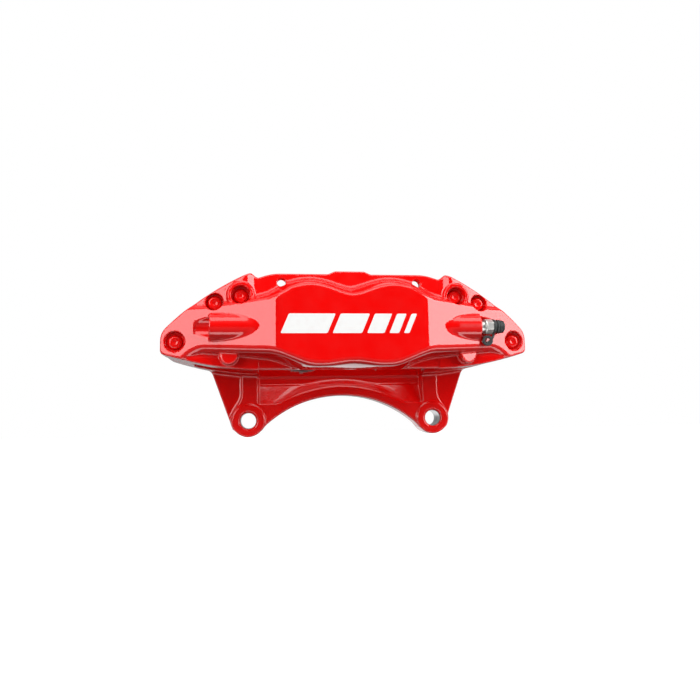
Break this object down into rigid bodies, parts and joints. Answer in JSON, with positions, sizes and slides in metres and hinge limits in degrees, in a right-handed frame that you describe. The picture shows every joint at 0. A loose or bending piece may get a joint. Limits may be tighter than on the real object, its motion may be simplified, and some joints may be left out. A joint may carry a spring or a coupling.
{
  "type": "brake caliper",
  "caption": "Red lug-mounted fixed brake caliper: split housings bolted across a disc slot, opposed pistons, bleed screws with caps, and a mounting web with a hub arch.",
  "frame": {"origin": "midway between the two lug bolt holes, on the lugs' inboard mounting face", "axes": "+X along the caliper towards the bleed screws, +Y inboard along the wheel axis, +Z away from the axle"},
  "size_m": [0.276, 0.118, 0.1225],
  "materials": {
    "caliper_paint": "gloss bright red powder coat on cast aluminium, bare where machined",
    "piston_alloy": "hard anodised, satin",
    "seal_rubber": "ground black rubber",
    "black_rubber": "matt moulded black rubber",
    "stainless_sheet": "brushed stainless sheet",
    "bolt_steel": "steel, painted over with the housing on the outboard side",
    "plated_steel": "zinc plated, semi bright"
  },
  "bodies": {
    "caliper": {"outboard_housing": "caliper_paint", "inboard_housing": "caliper_paint", "outboard_seal_left": "seal_rubber", "outboard_seal_right": "seal_rubber", "inboard_seal_left": "seal_rubber", "inboard_seal_right": "seal_rubber", "outboard_boot_left": "black_rubber", "outboard_boot_right": "black_rubber", "inboard_boot_left": "black_rubber", "inboard_boot_right": "black_rubber", "bridge_bolt_left_inner": "bolt_steel", "bridge_bolt_left_outer": "bolt_steel", "bridge_bolt_left_tip": "bolt_steel", "bridge_bolt_right_inner": "bolt_steel", "bridge_bolt_right_outer": "bolt_steel", "bridge_bolt_right_tip": "bolt_steel", "crossover_seal": "seal_rubber", "abutment_plate_outboard_left": "stainless_sheet", "abutment_plate_outboard_right": "stainless_sheet", "abutment_plate_inboard_left": "stainless_sheet", "abutment_plate_inboard_right": "stainless_sheet", "abutment_screw_outboard_left": "plated_steel", "abutment_screw_outboard_right": "plated_steel", "abutment_screw_inboard_left": "plated_steel", "abutment_screw_inboard_right": "plated_steel"},
    "outboard_piston_left": {"outboard_piston_left": "piston_alloy"},
    "outboard_piston_right": {"outboard_piston_right": "piston_alloy"},
    "inboard_piston_left": {"inboard_piston_left": "piston_alloy"},
    "inboard_piston_right": {"inboard_piston_right": "piston_alloy"},
    "outboard_bleed_screw": {"outboard_bleed_screw": "plated_steel"},
    "inboard_bleed_screw": {"inboard_bleed_screw": "plated_steel"},
    "outboard_bleed_cap": {"outboard_bleed_cap": "black_rubber"},
    "inboard_bleed_cap": {"inboard_bleed_cap": "black_rubber"}
  },
  "joints": [
    {"name": "outboard_piston_left_slide", "type": "slide", "parent": "caliper", "child": "outboard_piston_left", "axis": [0, 1, 0], "range_m": [0, 0.011], "deforming": ["outboard_boot_left"]},
    {"name": "outboard_piston_right_slide", "type": "slide", "parent": "caliper", "child": "outboard_piston_right", "axis": [0, 1, 0], "range_m": [0, 0.011], "deforming": ["outboard_boot_right"]},
    {"name": "inboard_piston_left_slide", "type": "slide", "parent": "caliper", "child": "inboard_piston_left", "axis": [0, -1, 0], "range_m": [0, 0.011], "deforming": ["inboard_boot_left"]},
    {"name": "inboard_piston_right_slide", "type": "slide", "parent": "caliper", "child": "inboard_piston_right", "axis": [0, -1, 0], "range_m": [0, 0.011], "deforming": ["inboard_boot_right"]},
    {"name": "outboard_bleed_screw_turn", "type": "hinge", "parent": "caliper", "child": "outboard_bleed_screw", "pos_m": [0.097, -0.085, 0.067], "axis": [1, 0, 0], "range_deg": [0, 180]},
    {"name": "inboard_bleed_screw_turn", "type": "hinge", "parent": "caliper", "child": "inboard_bleed_screw", "pos_m": [0.097, 0.003, 0.067], "axis": [1, 0, 0], "range_deg": [0, 180]},
    {"name": "outboard_bleed_cap_pull", "type": "slide", "parent": "caliper", "child": "outboard_bleed_cap", "axis": [1, 0, 0], "range_m": [0, 0.02]},
    {"name": "inboard_bleed_cap_pull", "type": "slide", "parent": "caliper", "child": "inboard_bleed_cap", "axis": [1, 0, 0], "range_m": [0, 0.02]}
  ]
}
